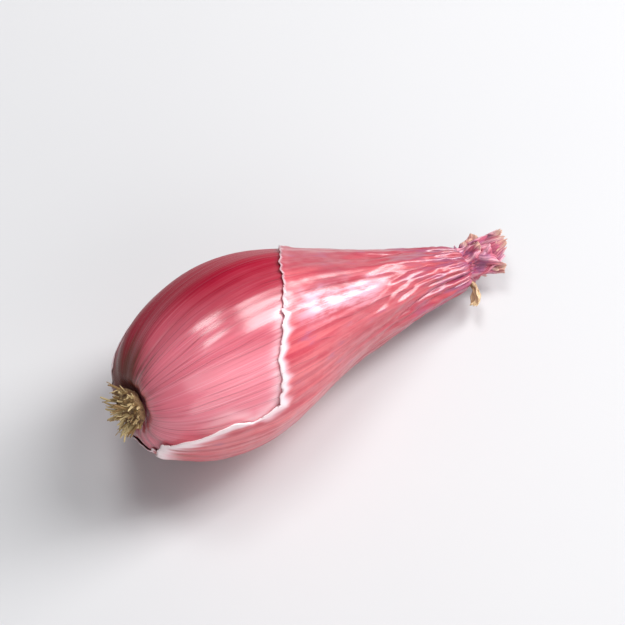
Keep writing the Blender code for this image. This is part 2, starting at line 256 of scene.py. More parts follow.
FLANK_ROUND = 0.75
FLANK_ALONG = 0.20
RIBS = 12
RIB_HEIGHT = 0.10 * MM
PLEATS = 8
PLEAT_DEPTH = 0.62 * MM
PLEAT_UNEVEN = 0.35
NECK_TWIST = radians(38)
PUCKERS = 12
PUCKER_DEPTH = 0.24 * MM
INNER_RINGS = 250
INNER_SIDES = 260


def ease(low, high, value):
    """0 before low, 1 after high, and a smooth rise between them."""
    share = np.clip((value - low) / (high - low), 0.0, 1.0)
    return share * share * (3.0 - 2.0 * share)


def spline_through(points):
    """A function of 0 to 1 that gives the natural cubic spline through the points.

    The spline runs on the square root of the chords, so short chords get their share of it.
    """
    points = np.array(points, float)
    chords = np.linalg.norm(np.diff(points, axis=0), axis=1)
    knots = np.concatenate([[0.0], np.cumsum(np.sqrt(chords))])
    spans = np.diff(knots)
    count = len(knots)
    matrix = np.eye(count)
    wanted = np.zeros(points.shape)
    for i in range(1, count - 1):
        matrix[i, i - 1 : i + 2] = spans[i - 1], 2 * (spans[i - 1] + spans[i]), spans[i]
        slopes = (points[i + 1] - points[i]) / spans[i], (points[i] - points[i - 1]) / spans[i - 1]
        wanted[i] = 6 * (slopes[0] - slopes[1])
    bends = np.linalg.solve(matrix, wanted)

    def at(share):
        where = np.asarray(share, float) * knots[-1]
        i = np.clip(np.searchsorted(knots, where) - 1, 0, count - 2)
        after, before = (where - knots[i])[..., None], (knots[i + 1] - where)[..., None]
        span = spans[i][..., None]
        curved = (bends[i] * before**3 + bends[i + 1] * after**3) / (6 * span)
        straight = (points[i] / span - bends[i] * span / 6) * before
        return curved + straight + (points[i + 1] / span - bends[i + 1] * span / 6) * after

    return at


outline_at = spline_through([(along * LENGTH, radius * BELLY_RADIUS) for along, radius in OUTLINE])


def bow_at(along):
    return np.sin(pi * np.clip(along, 0.0, 1.0))


def waves(turn, along, seed, count, around, lengthwise):
    """A sum of count cosine waves of random phase and direction, about -1 to 1, closed round the onion.

    Each goes a whole number of times round, within around, and up to lengthwise times along.
    """
    draw = np.random.default_rng(seed)
    total = np.zeros(np.broadcast(turn, along).shape)
    for _ in range(count):
        times = draw.integers(around[0], around[1] + 1)
        slant = draw.uniform(-lengthwise, lengthwise) * 2 * pi
        total = total + np.cos(times * turn + slant * along + draw.uniform(0, 2 * pi))
    return total / np.sqrt(2 * count)


def skin_points(share, turn):
    """Points on the skin in the onion's own frame, for shares along the outline and turns from straight up.

    The turned outline is made oval and slightly three-lobed, hollowed at the front flank, ribbed
    lengthwise, gathered in pleats at the neck and puckered round the root, and bowed. Fine waves add
    the veins' relief over the belly and the creases of the dried neck.
    """
    x, radius = np.moveaxis(outline_at(share), -1, 0)
    along = x / LENGTH
    radius = np.maximum(radius, 0.0)
    body = ease(0.0, 0.2, along) * (1.0 - ease(0.80, 1.0, along))
    neck = ease(0.50, 0.92, along) * (1.0 - ease(NECK_LIP_AT, 0.93, share))
    rim = ease(0.12, 0.30, radius / BELLY_RADIUS) * (1.0 - ease(0.03, 0.20, along))
    radius = radius * (1.0 + body * (OVAL * np.cos(2 * turn + 0.6) + THREE_LOBES * np.cos(3 * turn - 0.9)))
    off_flank = np.angle(np.exp(1j * (turn - FLANK_TURN)))
    dent = np.exp(-((off_flank / FLANK_ROUND) ** 2) - ((along - FLANK_AT) / FLANK_ALONG) ** 2)
    pleat_turn = turn + NECK_TWIST * neck + PLEAT_UNEVEN * np.sin(turn + 1.0)
    pleats = PLEAT_DEPTH * neck * (np.abs(np.cos(0.5 * PLEATS * pleat_turn)) - 2 / pi)
    ribs = RIB_HEIGHT * body * np.cos(RIBS * turn + 1.3 * np.sin(2 * turn))
    puckers = PUCKER_DEPTH * rim * np.cos(PUCKERS * turn + np.sin(3 * turn))
    veins = 0.020 * MM * body * waves(turn, along, 3, 14, (24, 60), 0.6)
    creases = 0.13 * MM * neck * waves(pleat_turn, along, 5, 12, (14, 34), 2.5)
    near_axis = ease(0.0, 1.2 * MM, radius)
    radius = radius + near_axis * (pleats + ribs + puckers + veins + creases - FLANK_DENT * dent)
    y = BOW_BACK * bow_at(along) - radius * np.sin(turn)
    z = BOW_UP * bow_at(along) + radius * np.cos(turn)
    return np.stack([x, y, z], axis=-1)


def pitched(points):
    """The points turned so that the neck dips by the rest pitch."""
    x, y, z = np.moveaxis(np.asarray(points, float), -1, 0)
    return np.stack([
        x * cos(REST_PITCH) + z * sin(REST_PITCH),
        y,
        z * cos(REST_PITCH) - x * sin(REST_PITCH),
    ], axis=-1)


# The bare body's root rim, sides and top are those of the bulb's solid, which gives the axis its place
bulb_low, bulb_high = (np.array(corner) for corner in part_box("bulb"))
inner_share, inner_turn = np.meshgrid(
    np.linspace(0.0, 1.0, INNER_RINGS)[1:-1],
    np.arange(INNER_SIDES) * 2 * pi / INNER_SIDES,
    indexing="ij",
)
inner_local = skin_points(inner_share, inner_turn)
loose = pitched(inner_local).reshape(-1, 3)
AXIS_START = np.array([
    bulb_low[0] - loose[:, 0].min(),
    0.5 * (bulb_low[1] + bulb_high[1] - loose[:, 1].min() - loose[:, 1].max()),
    bulb_high[2] - loose[:, 2].max(),
])


def laid_down(points):
    """Points of the onion's own frame, as it lies on the table."""
    return pitched(points) + AXIS_START


def wrapped_faces(rings, sides):
    """Quads between rings of points that close on themselves.

    They face out where the turn goes from straight up to the front.
    """
    ring = np.arange(rings - 1)[:, None] * sides
    side = np.arange(sides)[None, :]
    after = (side + 1) % sides
    corners = [ring + side, ring + after, ring + sides + after, ring + sides + side]
    return np.stack([np.broadcast_to(c, (rings - 1, sides)) for c in corners], axis=-1).reshape(-1, 4)


def closed_surface(name, points, middles):
    """An object of rings of points, with each end closed by a fan to its own middle point."""
    rings, sides = points.shape[:2]
    first_middle = rings * sides
    around = np.arange(sides)
    after = (around + 1) % sides
    last = (rings - 1) * sides
    start_fan = np.stack([after, around, np.full(sides, first_middle)], axis=1)
    end_fan = np.stack([last + around, last + after, np.full(sides, first_middle + 1)], axis=1)
    faces = wrapped_faces(rings, sides).tolist() + start_fan.tolist() + end_fan.tolist()
    return mesh_object(name, np.concatenate([points.reshape(-1, 3), middles]), faces)


def keep_skin_map(piece, share, turn):
    """Stores for the finishes: the turn as a cosine and a sine, and the share along the onion."""
    along = outline_at(share)[..., 0] / LENGTH
    values = np.stack([np.cos(turn), np.sin(turn), along], axis=-1)
    piece.data.attributes.new("skin_map", "FLOAT_VECTOR", "POINT").data.foreach_set(
        "vector", values.astype(np.float32).ravel())


inner_points = laid_down(inner_local)
inner_points[..., 2] = np.maximum(inner_points[..., 2], 0.0)
inner_ends = laid_down(skin_points(np.array([0.0, 1.0]), np.zeros(2)))
inner_skin = closed_surface("inner_skin", inner_points, inner_ends)
keep_skin_map(
    inner_skin,
    np.concatenate([inner_share.ravel(), [0.0, 1.0]]),
    np.concatenate([inner_turn.ravel(), [0.0, 0.0]]),
)

CRIMSON = (154, 8, 42)
DEEP_WINE = (112, 6, 38)
ROSE = (238, 126, 144)
PALE_ROSE = (250, 196, 204)
FILM = (254, 220, 226)  # what the torn layer has left beside its edge
STAIN = (104, 62, 50)
VEINS_ROUND = 66


def skin_coordinates(finish):
    """The skin map, its share along the onion, and the turn as an angle."""
    skin_map = finish.attribute("skin_map", 1)
    parts = finish.node("ShaderNodeSeparateXYZ", {}, {"Vector": skin_map})
    cosine, sine, along = (Wire(finish, output) for output in parts.socket.node.outputs)
    turn = finish.node("ShaderNodeMath", {"operation": "ARCTAN2"}, {0: sine, 1: cosine})
    return skin_map, along, turn


def vein_lines(finish, skin_map, turn, count, sharpness):
    """Thin lines along the onion, 1 on a line and 0 between them, which wander and fade in and out."""
    wander = finish.noise(finish.stretched(skin_map, (2.2, 2.2, 3.0)), 1.0, 2.0)
    strength = finish.noise(finish.stretched(skin_map, (9.0, 9.0, 4.0)), 1.0, 2.0)
    wave = abs((turn * (0.5 * count) + wander * 7.0).sine())
    return wave.fall(0.02, sharpness) * strength.rise(0.38, 0.62)


glossy = Finish(
    "glossy_inner_skin",
    roughness=0.3,
    specular_ior_level=0.08,
    coat_ior=1.65,
    coat_roughness=0.20,
    subsurface_weight=0.06,
    subsurface_scale=0.002,
)
skin_map, along, turn = skin_coordinates(glossy)
streaks = glossy.noise(glossy.stretched(skin_map, (14.0, 14.0, 1.3)), 1.0, 4.0, 0.55)
fine_streaks = glossy.noise(glossy.stretched(skin_map, (55.0, 55.0, 4.0)), 1.0, 3.0)
patches = glossy.noise(glossy.stretched(skin_map, (1.5, 1.5, 3.0)), 1.0, 3.0)
veins = vein_lines(glossy, skin_map, turn, VEINS_ROUND, 0.34)
thin_veins = vein_lines(glossy, skin_map, turn, 2 * VEINS_ROUND + 9, 0.45)
# Partly the skin's own tone and partly painted light: deep crimson on top and behind, painted lighter down
# the lit front and near the root end
tone_and_painted_light = (turn + patches * 0.9 + streaks * 0.6 + along.fall(0.0, 0.28) * 0.5).rise(0.25, 1.75)
tone_and_painted_light = tone_and_painted_light * turn.fall(2.2, 3.0)
colour = glossy.mix(tone_and_painted_light * 0.88 + streaks.rise(0.42, 0.72) * (0.03 + tone_and_painted_light * 0.10), CRIMSON, ROSE)
colour = glossy.mix(fine_streaks.rise(0.46, 0.80) * (0.02 + tone_and_painted_light * 0.30), colour, PALE_ROSE)
colour = glossy.mix(glossy.attribute("film", 2) * streaks.rise(0.22, 0.58) * 0.62, colour, FILM)
colour = glossy.mix(veins * 0.34, colour, DEEP_WINE)
colour = glossy.mix(thin_veins * 0.16, colour, DEEP_WINE)
stained = glossy.noise(glossy.stretched(skin_map, (16.0, 16.0, 6.0)), 1.0, 4.0, 0.7)
stain_edge = along + stained * 0.13 + turn.sine().rise(-0.6, 0.4) * 0.050
colour = glossy.mix(stain_edge.fall(0.075, 0.150) * 0.88, colour, STAIN)
glossy.feed("Base Color", colour)
glossy.feed("Roughness", 0.26 + streaks * 0.14)
glossy.feed("Coat Weight", (0.05 + turn.sine().rise(-0.48, 0.05) * 0.85) * (0.78 + patches * 0.6))
glossy.bump(veins * 0.5 + thin_veins * 0.25 + fine_streaks * 0.4 + streaks * 0.4, 0.00008)
inner_skin.data.materials.append(glossy.material)
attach(inner_skin, "root")
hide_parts("bulb")

# Dry outer skin
# A papery layer about a tenth of a millimetre thick, which clings to the bulb and the whole neck. It
# has torn away over the upper front of the belly, and its lip curls off the bulb by the root end.
OUTER_RINGS = 216
OUTER_SIDES = 270
OUTER_GAP = 0.16 * MM
OUTER_THICKNESS = 0.12 * MM
TEAR_FRONT = radians(75)  # turn of the tear's front edge at its neckward corner
TEAR_BACK = radians(-88)
TEAR_CORNER = 20 * MM
TEAR_ROOT = 1 * MM
FRONT_SPREAD = radians(28)  # how far down the front edge has slanted at the root
FRONT_BEND = 0.7
TEAR_END = 19.2 * MM  # how far along the onion the tear ends at the front
TEAR_SLANT = 9.0 * MM  # how much further for each radian toward the back
SLANT_FROM = 0.8
LIP_REACH = radians(15)
LIP_FROM, LIP_TO = 0.5 * MM, 14.5 * MM
LIP_LIFT = 1.4 * MM
LIP_WIDTH = 4.6 * MM
CURL_WIDTH = 1.3 * MM
CURL_HEIGHT = 0.26 * MM
ROOT_HEM = 1.9 * MM

outer_share, outer_turn = np.meshgrid(
    np.linspace(0.10, NECK_LIP_AT + 0.010, OUTER_RINGS),
    np.arange(OUTER_SIDES) * 2 * pi / OUTER_SIDES - pi,
    indexing="ij",
)


def lip_fullness(x, turn):
    """1 at the middle of the lip that has curled off the belly, and 0 at its ends and away from it."""
    lengthwise = np.sin(pi * np.clip((x - LIP_FROM) / (LIP_TO - LIP_FROM), 0.0, 1.0))
    return lengthwise * (np.abs(np.angle(np.exp(1j * (turn - TEAR_FRONT)))) < 0.9)


def tear_distance(share, turn):
    """Roughly the distance in metres from the torn edge: above 0 where the outer skin still is.

    The largest of the distances past the front edge, past the back edge and past the neckward end,
    but no more than the distance from the hem at the root end. Waves make each of them ragged.
    """
    x, radius = np.moveaxis(outline_at(share), -1, 0)
    along = x / LENGTH
    off = np.angle(np.exp(1j * turn))
    down = np.clip((TEAR_CORNER - x) / (TEAR_CORNER - TEAR_ROOT), 0.0, 1.0)
    front = TEAR_FRONT + FRONT_SPREAD * down ** (1.0 / FRONT_BEND) - LIP_REACH * lip_fullness(x, off)
    wander = 0.30 * MM * waves(turn, along, 21, 10, (0, 3), 9.0)
    wander = wander + 0.12 * MM * waves(turn, along, 22, 10, (0, 5), 30.0)
    past_front = radius * (off - front) + wander
    past_back = radius * (TEAR_BACK - off) + wander
    across_veins = 0.55 * MM * waves(turn, 0.0, 23, 8, (4, 13), 0.0)
    across_veins = across_veins + 0.24 * MM * waves(turn, 0.0, 24, 8, (30, 70), 0.0)
    past_end = x - TEAR_END - TEAR_SLANT * np.maximum(SLANT_FROM - off, 0.0) + across_veins
    clear = np.maximum(np.maximum(past_front, past_back), past_end)
    return np.minimum(clear, x - ROOT_HEM + 0.35 * MM * waves(turn, 0.0, 25, 8, (4, 26), 0.0))


distance = tear_distance(outer_share, outer_turn)
step_down = np.gradient(distance, axis=0)
step_round = 0.5 * (np.roll(distance, -1, axis=1) - np.roll(distance, 1, axis=1))
steepness = np.sqrt(step_down**2 + step_round**2) + 1e-9
# Points that are less than a step away from the tear move onto it, so the torn edge isn't stepped
near = np.abs(distance) < 0.62 * steepness
shift = np.where(near, -distance / steepness**2, 0.0)
share_step = outer_share[1, 0] - outer_share[0, 0]
snapped_share = outer_share + shift * step_down * share_step
snapped_turn = outer_turn + shift * step_round * (2 * pi / OUTER_SIDES)
covered = (distance > 0) | near
edge = np.where(near, 0.0, np.maximum(distance, 0.0))

base = skin_points(snapped_share, snapped_turn)
down = np.gradient(base, axis=0)
across = np.roll(base, -1, axis=1) - np.roll(base, 1, axis=1)
outward = np.cross(across, down)
outward /= np.linalg.norm(outward, axis=-1, keepdims=True)
x = base[..., 0]
along_grid = x / LENGTH
# The lip flares off the belly, every torn edge curls up a little, and the dry sheet buckles and crinkles
flare = np.clip(1.0 - edge / LIP_WIDTH, 0.0, 1.0) ** 2 * lip_fullness(x, snapped_turn) * LIP_LIFT
uneven = 1.0 + 0.7 * waves(snapped_turn, along_grid, 31, 8, (3, 12), 6.0)
clinging = 1.0 - 0.9 * ease(-1.1, -1.4, snapped_turn)
curl = np.exp(-((edge / CURL_WIDTH) ** 2)) * CURL_HEIGHT * np.maximum(uneven, 0.0) * clinging
neckward = ease(0.45, 0.90, along_grid)
buckles = (0.045 + 0.060 * neckward) * MM * waves(snapped_turn, along_grid, 32, 18, (8, 44), 3.0)
crinkle_size = (0.022 + 0.07 * ease(0.72, 0.98, along_grid)) * MM
crinkles = crinkle_size * waves(snapped_turn, along_grid, 33, 20, (2, 30), 26.0)
sheet = base + outward * (OUTER_GAP + flare + curl + buckles + crinkles)[..., None]

# How pale the dried torn edge is, with a painted highlight on the lip: the band is wide on the lip, where
# it is painted highlight, and down the front, and thin over the top
ragged = 1.0 + 0.40 * waves(snapped_turn, along_grid, 34, 12, (8, 52), 8.0)
down_front = ease(-0.35, 0.40, snapped_turn)
facing_neck = ease(0.75 * TEAR_END, 0.95 * TEAR_END, x) * ease(0.10, 0.66, snapped_turn)
pale_width = (0.35 + 0.45 * down_front + 2.1 * facing_neck + 3.8 * lip_fullness(x, snapped_turn)) * MM
pale_edge_and_lip_highlight = ease(1.0, 0.0, edge / (pale_width * np.clip(ragged, 0.3, 2.0)))

# A thin film of the torn layer is left on the inner skin, fading over a millimetre or two from the tear
FILM_WIDTH = 1.5 * MM
bare_distance = np.maximum(-tear_distance(inner_share, inner_turn), 0.0)
film = np.exp(-((bare_distance / FILM_WIDTH) ** 2))
film = film * ease(0.05, 0.50, inner_turn) * ease(2.0, 1.6, inner_turn)
film = film * ease(4.0 * MM, 9.0 * MM, outline_at(inner_share)[..., 0])


def kept_faces(covered, rings, sides):
    """The quads whose corners are all covered, and their points numbered without gaps."""
    faces = wrapped_faces(rings, sides)
    flat = covered.ravel()
    faces = faces[flat[faces].all(axis=1)]
    used = np.unique(faces)
    numbers = np.zeros(flat.size, int)
    numbers[used] = np.arange(used.size)
    return numbers[faces], used


def keep_value(piece, name, values):
    """Stores one number a point for the finishes."""
    stored = piece.data.attributes.new(name, "FLOAT", "POINT")
    stored.data.foreach_set("value", np.ascontiguousarray(values, np.float32).ravel())


def make_thick(piece, thickness):
    """Gives a sheet its thickness, on the side away from its face."""
    solid = piece.modifiers.new("thickness", "SOLIDIFY")
    solid.thickness = thickness
    solid.offset = -1.0


outer_faces, used = kept_faces(covered, OUTER_RINGS, OUTER_SIDES)
outer_points = laid_down(sheet).reshape(-1, 3)[used]
outer_points[:, 2] = np.maximum(outer_points[:, 2], 0.0)
outer_skin = mesh_object("outer_skin", outer_points, outer_faces.tolist())
keep_skin_map(outer_skin, snapped_share.ravel()[used], snapped_turn.ravel()[used])
keep_value(outer_skin, "pale_edge_and_lip_highlight", pale_edge_and_lip_highlight.ravel()[used])
keep_value(inner_skin, "film", np.append(film.ravel(), [0.0, 0.0]))
make_thick(outer_skin, OUTER_THICKNESS)

SALMON = (188, 58, 76)
CORAL = (218, 98, 106)
DULL_CRIMSON = (160, 34, 62)
PALE_PAPER = (250, 204, 214)
PAINTED_HIGHLIGHT = (248, 206, 228)  # painted highlight: silvery patches where the light glints along the upper front of the neck
WINE_SHADE = (142, 34, 66)
MAUVE = (168, 88, 128)

papery = Finish(
    "papery_outer_skin",
    roughness=0.5,
    specular_ior_level=0.2,
    coat_ior=1.75,
    coat_roughness=0.29,
)
skin_map, along, turn = skin_coordinates(papery)
pale = papery.attribute("pale_edge_and_lip_highlight", 2)
streaks = papery.noise(papery.stretched(skin_map, (12.0, 12.0, 1.8)), 1.0, 4.0, 0.55)
fine_streaks = papery.noise(papery.stretched(skin_map, (64.0, 64.0, 5.0)), 1.0, 3.0)
patches = papery.noise(papery.stretched(skin_map, (1.8, 1.8, 4.5)), 1.0, 4.0, 0.6)
crinkle = papery.noise(papery.stretched(skin_map, (20.0, 20.0, 36.0)), 1.0, 4.0, 0.6)
blots = papery.noise(papery.stretched(skin_map, (7.0, 7.0, 13.0)), 1.0, 4.0, 0.6)
veins = vein_lines(papery, skin_map, turn, VEINS_ROUND - 18, 0.26)
thin_veins = vein_lines(papery, skin_map, turn, 2 * VEINS_ROUND, 0.42)
colour = papery.mix(streaks.rise(0.36, 0.66), SALMON, CORAL)
# Dull crimson patches, partly the skin's own and partly painted shade: they gather on the top and back and
# thin out down the lit front
colour = papery.mix((patches - turn.sine() * 0.28).rise(0.38, 0.60) * 0.66, colour, DULL_CRIMSON)
colour = papery.mix(fine_streaks.rise(0.5, 0.8) * 0.26, colour, (240, 156, 156))
colour = papery.mix(veins * 0.40, colour, WINE_SHADE)
colour = papery.mix(thin_veins * 0.20, colour, WINE_SHADE)
colour = papery.mix(blots.rise(0.56, 0.70) * (0.30 + along * 0.45), colour, MAUVE)
colour = papery.mix((along + streaks * 0.16).fall(0.085, 0.185) * 0.62, colour, (170, 116, 92))
colour = papery.mix(along.rise(0.36, 0.62) * 0.46, colour, (148, 36, 56))
colour = papery.mix(along.rise(0.70, 0.95) * blots.rise(0.42, 0.58) * 0.60, colour, (136, 66, 112))
# Painted highlight: silvery patches in the band along the upper front of the neck, where the light glints
painted_highlight_patches = turn.rise(0.12, 0.34) * turn.fall(0.44, 0.74) * along.rise(0.36, 0.48) * along.fall(0.62, 0.76)
painted_highlight_patches = painted_highlight_patches * (blots * 0.42 + streaks * 0.58).rise(0.42, 0.58)
colour = papery.mix(painted_highlight_patches * 0.62, colour, PAINTED_HIGHLIGHT)
# The pale dried torn edge, with a painted highlight on the lip; the near white on top is strongest on the
# lip by the root end
colour = papery.mix((pale * 1.2 + streaks * 0.5 - 0.28).rise(0.0, 1.05) * 0.90, colour, PALE_PAPER)
colour = papery.mix(pale.rise(0.50, 0.95) * (0.34 + along.fall(0.20, 0.40) * 0.42), colour, (255, 240, 240))
papery.feed("Base Color", colour)
papery.feed("Roughness", 0.38 + crinkle * 0.22)
papery.feed("Coat Weight", 0.32 + blots.rise(0.36, 0.56) * 0.45 + patches * 0.40)
papery.bump(veins * 0.8 + thin_veins * 0.4 + fine_streaks * 0.3 + crinkle * 0.4, 0.00008)
outer_skin.data.materials.append(papery.material)
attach(outer_skin, "root")
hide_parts("bulb")

# Root plate
# The corky disc of stem that sits in the recess at the root end. It grew with the bulb and has dried
# hard and cracked, and every root leaves from it.
PLATE_OUTLINE = (  # in mm: how far inward of the root end, and the radius there
    (1.35, 0.0),
    (1.35, 2.0),
    (0.75, 3.0),
    (0.0, 3.3),
    (-0.6, 2.7),
    (-0.95, 1.3),
    (-1.05, 0.0),
)
PLATE_RINGS = 60
PLATE_SIDES = 96
PLATE_WAVES = ((5, 0.05), (9, 0.03))


def plate_points(share, turn):
    """Points of the plate in the onion's own frame: a turned outline with a wavy rim and corky lumps."""
    x, radius = np.moveaxis(plate_at(share) * MM, -1, 0)
    level = x / MM
    wavy = 1.0 + sum(size * np.cos(count * turn + level) for count, size in PLATE_WAVES)
    lumps = 0.10 * MM * waves(turn, share, 41, 24, (4, 26), 9.0) * ease(0.0, 0.8 * MM, radius)
    radius = np.maximum(radius, 0.0) * wavy + lumps
    return np.stack([x - 0.6 * lumps, -radius * np.sin(turn), radius * np.cos(turn)], axis=-1)


plate_at = spline_through(PLATE_OUTLINE)
plate_share, plate_turn = np.meshgrid(
    np.linspace(0.0, 1.0, PLATE_RINGS)[1:-1],
    np.arange(PLATE_SIDES) * 2 * pi / PLATE_SIDES,
    indexing="ij",
)
plate_ends = laid_down(plate_points(np.array([0.0, 1.0]), np.zeros(2)))
root_plate = closed_surface("root_plate", laid_down(plate_points(plate_share, plate_turn)), plate_ends)

corky = Finish("corky_plate", roughness=0.85)
place = corky.node("ShaderNodeTexCoord", output=3)
grain = corky.noise(place, 1400.0, 5.0, 0.65)
lumpy = corky.noise(place, 420.0, 3.0)
colour = corky.mix(lumpy.rise(0.35, 0.65), (122, 88, 62), (178, 146, 104))
colour = corky.mix(grain.fall(0.34, 0.50) * 0.7, colour, (66, 42, 34))
corky.feed("Base Color", colour)
corky.feed("Roughness", 0.75 + grain * 0.2)
corky.bump(grain + lumpy * 1.5, 0.00018)
root_plate.data.materials.append(corky.material)
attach(root_plate, "root")
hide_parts("root_tuft")

# Dry roots
# Brittle tan roots that grow from the plate in a spiral. Each has two finer ones beside it, and all of
# them have curled over as they dried.
ROOTS = 40
FINE_ROOTS = 2  # beside each root
FINE_STRAY = 0.30 * MM
FINE_SAG = 0.30
FINE_SHORTER = 0.12
ROOT_RADIUS = 0.30 * MM
FINE_ROOT_RADIUS = 0.15 * MM
ROOT_SHORTEST, ROOT_LONGEST = 2.0 * MM, 4.4 * MM
ROOT_CIRCLE = 2.75 * MM
ROOT_DEPTH = 0.45 * MM
ROOT_SPREAD = 0.85
ROOT_SAG = 0.42
ROOT_STEPS = 16
ROOT_SIDES = 8
GOLDEN_TURN = radians(137.508)

draw = random.Random(11)
loose_draw = random.Random(12)
starts, directions, sags, lengths, radii = [], [], [], [], []
for i in range(ROOTS):
    out = sqrt((i + 0.5) / ROOTS)
    spot = i * GOLDEN_TURN
    radial = np.array([0.0, sin(spot), cos(spot)])
    side = np.cross(radial, [1.0, 0.0, 0.0])
    direction = np.array([-1.0, 0.0, 0.0]) + radial * (ROOT_SPREAD * out)
    direction /= np.linalg.norm(direction)
    sag = ROOT_SAG * (radial * draw.uniform(-0.25, 0.75) + side * draw.uniform(-1.0, 1.0))
    length = draw.uniform(ROOT_SHORTEST, ROOT_LONGEST) * (1.0 - 0.25 * out)
    for finer in range(1 + FINE_ROOTS):
        strays = np.array([loose_draw.uniform(-1.0, 1.0) for _ in range(6)]) * (finer > 0)
        stray = FINE_STRAY * strays[:3] * [0, 1, 1]
        starts.append(radial * (ROOT_CIRCLE * out) + [ROOT_DEPTH, 0.0, 0.0] + stray)
        directions.append(direction)
        sags.append(sag + FINE_SAG * strays[3:])
        lengths.append(length * (1.0 - FINE_SHORTER * finer))
        radii.append(FINE_ROOT_RADIUS if finer else ROOT_RADIUS)


def tube_points(starts, directions, sags, lengths, radii, wobbles):
    """Points of many tapered tubes at once, as an array of tube, step, side and coordinate.

    Each axis runs straight, plus a sag that grows with the square of the way along, plus a wobble.
    """
    way = np.linspace(0.0, 1.0, ROOT_STEPS)[None, :, None]
    length = lengths[:, None, None]
    axis = starts[:, None] + length * (directions[:, None] * way + sags[:, None] * way**2)
    wobble = np.sin(2 * pi * (1.4 * way + wobbles[:, 3:4][:, None]))
    axis = axis + 0.035 * length * wobbles[:, :3][:, None] * wobble
    forward = np.gradient(axis, axis=1)
    forward /= np.linalg.norm(forward, axis=-1, keepdims=True)
    first = np.cross(forward, np.array([0.31, 0.87, 0.38]))
    first /= np.linalg.norm(first, axis=-1, keepdims=True)
    second = np.cross(forward, first)
    spin = np.arange(ROOT_SIDES) * 2 * pi / ROOT_SIDES
    knobbly = 1.0 + 0.12 * np.sin(9.0 * way + 20.0 * wobbles[:, 3:4][:, None])
    thick = radii[:, None, None] * (1.0 - 0.62 * way**1.3) * knobbly
    ring = first[:, :, None] * np.cos(spin)[:, None] + second[:, :, None] * np.sin(spin)[:, None]
    return axis[:, :, None] + ring * thick[:, :, None]


starts, directions, sags, lengths, radii = (
    np.array(values) for values in (starts, directions, sags, lengths, radii)
)
wobbles = np.random.default_rng(13).uniform(-1.0, 1.0, (len(starts), 4))
tubes = tube_points(starts, directions, sags, lengths, radii, wobbles)
tube_size = ROOT_STEPS * ROOT_SIDES
tube_numbers = np.arange(len(starts))[:, None, None] * tube_size
tube_faces = (tube_numbers + wrapped_faces(ROOT_STEPS, ROOT_SIDES)[None]).reshape(-1, 4).tolist()
around = np.arange(ROOT_SIDES)
for tube in range(len(starts)):
    tube_faces.append((tube * tube_size + around[::-1]).tolist())
    tube_faces.append((tube * tube_size + tube_size - ROOT_SIDES + around).tolist())
dry_roots = mesh_object("dry_roots", laid_down(tubes).reshape(-1, 3), tube_faces)
root_way = np.linspace(0.0, 1.0, ROOT_STEPS)[None, :, None]
keep_value(dry_roots, "root_way", np.broadcast_to(root_way, tubes.shape[:3]))
keep_value(dry_roots, "root_tone", np.broadcast_to(wobbles[:, 3][:, None, None], tubes.shape[:3]))

fibrous = Finish("fibrous_root", roughness=0.8)
place = fibrous.node("ShaderNodeTexCoord", output=3)
grain = fibrous.noise(place, 1600.0, 4.0, 0.6)
way = fibrous.attribute("root_way", 2)
tone = fibrous.attribute("root_tone", 2)
colour = fibrous.mix((tone * 0.4 + grain).rise(0.2, 0.8), (150, 118, 76), (222, 200, 150))
colour = fibrous.mix(way.fall(0.0, 0.35) * 0.6, colour, (96, 66, 48))
fibrous.feed("Base Color", colour)
fibrous.feed("Roughness", 0.68 + grain * 0.25)
fibrous.bump(grain, 0.00006)
dry_roots.data.materials.append(fibrous.material)
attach(dry_roots, "root")
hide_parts("root_tuft")

# Dry leaf ends
# What is left of the leaves: thin folded ribbons, pink and mauve to tan, that stand in the mouth of the
# neck around a tight scroll of the innermost one. Each long one is two plies that have dried apart, and a
# ring of short ones stands round their feet.
LEAF_START = 1.65 * MM  # the ribbons leave the scroll this far along it
LEAF_RADIUS = 0.81 * MM
LEAF_FOOT, LEAF_POINT = 0.50, 0.50  # width at the foot and the end, as shares of the widest
LEAF_ARCH = 0.45
LEAF_RUFFLE = 0.30
LEAF_THICKNESS = 0.10 * MM
LEAF_FOLDS = 1.6
LEAF_FOLD = 0.42 * MM
PLY_LIFT = 0.16 * MM
PLY_TURN = 0.12
PLY_LENGTH, PLY_WIDTH = 0.86, 0.92  # of the second ply, as shares of the first one's
LEAF_STEPS = 54
LEAF_COLUMNS = 33
SHORT_LEAVES = 7
SHORT_RADIUS = 1.75 * MM
SHORT_HALF_WIDTH = 1.9 * MM
SHORT_LEAN = 0.06
MOUTH = 0.942 * LENGTH + 0.3 * MM
# For each: length and half width in mm, turn round the neck in degrees, lean and curl in radians
LEAF_ENDS = (
    (11.0, 3.1, 12, 0.16, 0.30),
    (9.4, 2.6, 72, 0.26, 0.38),
    (6.2, 2.3, 140, 0.06, 0.06),
    (6.6, 2.3, 214, 0.08, 0.08),
    (8.8, 2.5, 276, 0.20, 0.42),
    (11.8, 2.7, 328, 0.26, -0.10),
    (9.2, 0.8, 96, 0.44, 2.45),
)


def leaf_grid():
    """How far along and across each point of a ribbon or of the scroll is: 0 to 1, and -1 to 1."""
    steps, columns = np.linspace(0.0, 1.0, LEAF_STEPS), np.linspace(-1.0, 1.0, LEAF_COLUMNS)
    return np.meshgrid(steps, columns, indexing="ij")


